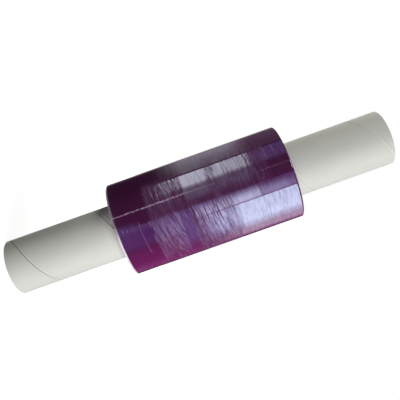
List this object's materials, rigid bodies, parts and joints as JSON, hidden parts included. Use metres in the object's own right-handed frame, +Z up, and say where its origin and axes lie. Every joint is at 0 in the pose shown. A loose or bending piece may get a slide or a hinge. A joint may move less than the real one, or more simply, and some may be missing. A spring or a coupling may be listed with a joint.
{
  "type": "roll of cling film",
  "caption": "Roll of purple cling film wound tight on a long paper core, whose bare ends stick out past the film as handgrips.",
  "frame": {"origin": "centre of the core's lower rim, on the surface that the roll stands on", "axes": "+Z up the core's axis towards its shorter bare end; the film's free end lies along the front, which faces -Y"},
  "size_m": [0.0822, 0.0822, 0.34],
  "materials": {
    "core_paper": "matte",
    "purple_film": "gloss"
  },
  "bodies": {
    "root": {"core_tube": "core_paper", "film_roll": "purple_film"}
  },
  "joints": []
}
